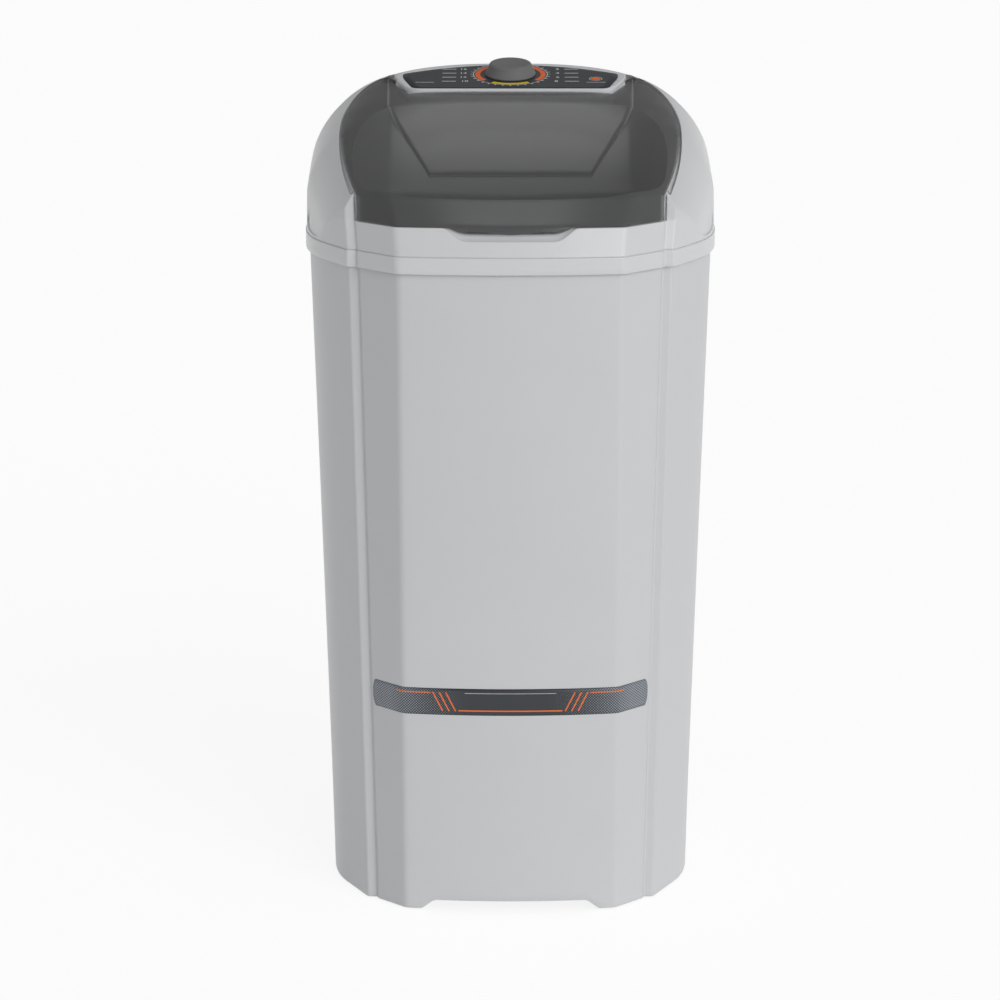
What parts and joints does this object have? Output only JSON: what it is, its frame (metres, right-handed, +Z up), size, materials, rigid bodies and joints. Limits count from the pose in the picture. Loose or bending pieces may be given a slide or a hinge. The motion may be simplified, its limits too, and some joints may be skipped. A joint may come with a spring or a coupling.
{
  "type": "semi-automatic washing machine",
  "caption": "Free-standing top-loading washing machine: tapered plastic cabinet, domed cover with smoky hinged lid, sloping dial panel, agitator, filter, belt drive.",
  "frame": {"origin": "on the floor, under the middle of the machine's bounding box", "axes": "+Z up, the front faces -Y, +X to the right as seen from the front"},
  "size_m": [0.518, 0.5064, 1.0237],
  "materials": {
    "shell_plastic": "smooth light grey injection-moulded plastic",
    "guard_plastic": "dull dark grey plastic",
    "foot_rubber": "black rubber",
    "zinc_screws": "bright zinc plate",
    "strip_film": "printed dark film with a halftone and a thin orange line",
    "cover_plastic": "silver grey plastic with a soft sheen",
    "lid_smoke": "smoky see-through plastic",
    "pin_steel": "plain steel",
    "bezel_silver": "silver painted plastic",
    "overlay_film": "dark printed film",
    "knob_plastic": "dark grey plastic",
    "timer_plastic": "cream plastic",
    "tub_plastic": "smooth off-white polypropylene",
    "agitator_plastic": "blue grey plastic",
    "net_plastic": "fine white mesh",
    "cast_alloy": "die-cast",
    "bush_bronze": "sintered bronze",
    "pulley_iron": "dark cast metal",
    "belt_rubber": "black rubber",
    "motor_paint": "dark paint over pressed steel",
    "bracket_steel": "galvanized sheet",
    "capacitor_can": "pale grey plastic can",
    "hose_rubber": "black rubber",
    "inlet_plastic": "white plastic",
    "lead_jacket": "cream plastic jacket"
  },
  "bodies": {
    "frame": {"cabinet": "shell_plastic", "base_guard": "guard_plastic", "rubber_feet": "foot_rubber", "base_screws": "zinc_screws", "front_strip": "strip_film", "top_cover": "cover_plastic", "cover_screws": "zinc_screws", "lid_bumpers": "foot_rubber", "lid_hinge_pins": "pin_steel", "panel_bezel": "bezel_silver", "panel_overlay": "overlay_film", "timer_body": "timer_plastic", "timer_screws": "zinc_screws", "tub": "tub_plastic", "drain_grate": "agitator_plastic", "filter_channel": "tub_plastic", "bearing_housing": "cast_alloy", "shaft_bushes": "bush_bronze", "shaft_seal": "foot_rubber", "housing_gasket": "foot_rubber", "housing_bolts": "zinc_screws", "drive_belt": "belt_rubber", "motor_body": "motor_paint", "motor_bracket": "bracket_steel", "motor_bolts": "zinc_screws", "bracket_screws": "zinc_screws", "capacitor": "capacitor_can", "capacitor_clip": "bracket_steel", "drain_hose": "hose_rubber", "hose_outlet": "guard_plastic", "hose_hook": "shell_plastic", "water_inlet": "inlet_plastic", "cord_gland": "foot_rubber", "wiring_lead": "lead_jacket"},
    "lid_leaf": {"lid": "lid_smoke"},
    "timer": {"timer_knob": "knob_plastic", "timer_shaft": "pin_steel"},
    "wash": {"agitator": "agitator_plastic", "agitator_screw": "zinc_screws", "agitator_cap": "agitator_plastic", "agitator_shaft": "pin_steel", "driven_pulley": "pulley_iron", "pulley_nut": "zinc_screws"},
    "rotor": {"motor_shaft": "pin_steel", "motor_pulley": "cast_alloy"},
    "filter": {"filter_frame": "agitator_plastic", "filter_net": "net_plastic"}
  },
  "joints": [
    {"name": "lid_hinge", "type": "hinge", "parent": "frame", "child": "lid_leaf", "pos_m": [0, 0.17, 0.99227], "axis": [-1, 0, 0], "range_deg": [0, 88]},
    {"name": "timer_turn", "type": "hinge", "parent": "frame", "child": "timer", "pos_m": [0, 0.1509, 1.00345], "axis": [0, -0.1908, 0.9816], "range_deg": [-330, 0]},
    {"name": "agitator_spin", "type": "hinge", "parent": "frame", "child": "wash", "pos_m": [0, 0, 0.24], "axis": [0, 0, 1], "continuous": true},
    {"name": "motor_spin", "type": "hinge", "parent": "frame", "child": "rotor", "pos_m": [0, 0.15, 0.12], "axis": [0, 0, 1], "continuous": true},
    {"name": "filter_lift", "type": "slide", "parent": "frame", "child": "filter", "axis": [0, 0, 1], "range_m": [0, 0.13]}
  ],
  "couplings": [
    {"joint": "motor_spin", "follows": "agitator_spin", "ratio": 4.1667}
  ]
}
